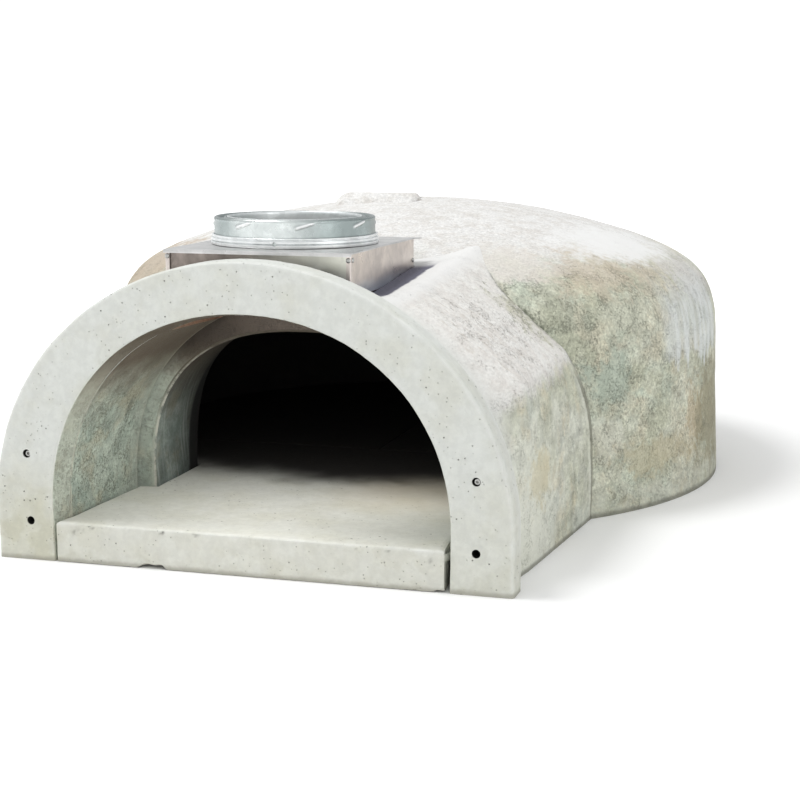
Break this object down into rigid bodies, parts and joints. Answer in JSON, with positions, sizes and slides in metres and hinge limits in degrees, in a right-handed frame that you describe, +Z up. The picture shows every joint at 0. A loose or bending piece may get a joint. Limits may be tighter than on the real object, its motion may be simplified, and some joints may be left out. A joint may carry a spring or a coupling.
{
  "type": "wood fired pizza oven core",
  "caption": "Precast concrete pizza oven core: low round dome, vent neck and front arch round a wide mouth, split hearth floor, and a sheet-metal flue box with a twin-wall chimney collar.",
  "frame": {"origin": "centre of the footprint's bounding box, on the plane the castings stand on", "axes": "+Z up, the mouth faces -Y, +X to the right seen from the front"},
  "size_m": [1.155, 1.4474, 0.5145],
  "materials": {
    "smooth_cast_concrete": "cast refractory concrete, smooth, matte",
    "rough_cast_concrete": "cast refractory concrete, coarse and weathered, matte",
    "hearth_cast_concrete": "cast refractory concrete, rubbed flat, matte",
    "galvanised_sheet": "bright galvanised sheet, satin",
    "stainless_sheet": "stainless sheet, satin, slightly heat tinted",
    "stainless_liner": "stainless tube, satin",
    "bolt_steel": "bright zinc-plated steel"
  },
  "bodies": {
    "root": {"front_arch": "smooth_cast_concrete", "vent_housing": "rough_cast_concrete", "dome_front": "rough_cast_concrete", "dome_rear": "rough_cast_concrete", "hearth_front": "hearth_cast_concrete", "hearth_rear_left": "hearth_cast_concrete", "hearth_rear_right": "hearth_cast_concrete", "flue_box_left_panel": "stainless_sheet", "flue_box_right_panel": "stainless_sheet", "flue_box_front_panel": "stainless_sheet", "flue_box_rear_panel": "stainless_sheet", "flue_box_top_plate": "galvanised_sheet", "flue_skirt": "stainless_sheet", "collar_base_ring": "galvanised_sheet", "collar_casing": "galvanised_sheet", "collar_liner": "stainless_liner", "anchor_bolt_left": "bolt_steel", "anchor_bolt_right": "bolt_steel", "rivet_front_left": "bolt_steel", "rivet_front_right": "bolt_steel", "rivet_left_front": "bolt_steel", "rivet_left_rear": "bolt_steel", "rivet_right_front": "bolt_steel", "rivet_right_rear": "bolt_steel"}
  },
  "joints": []
}
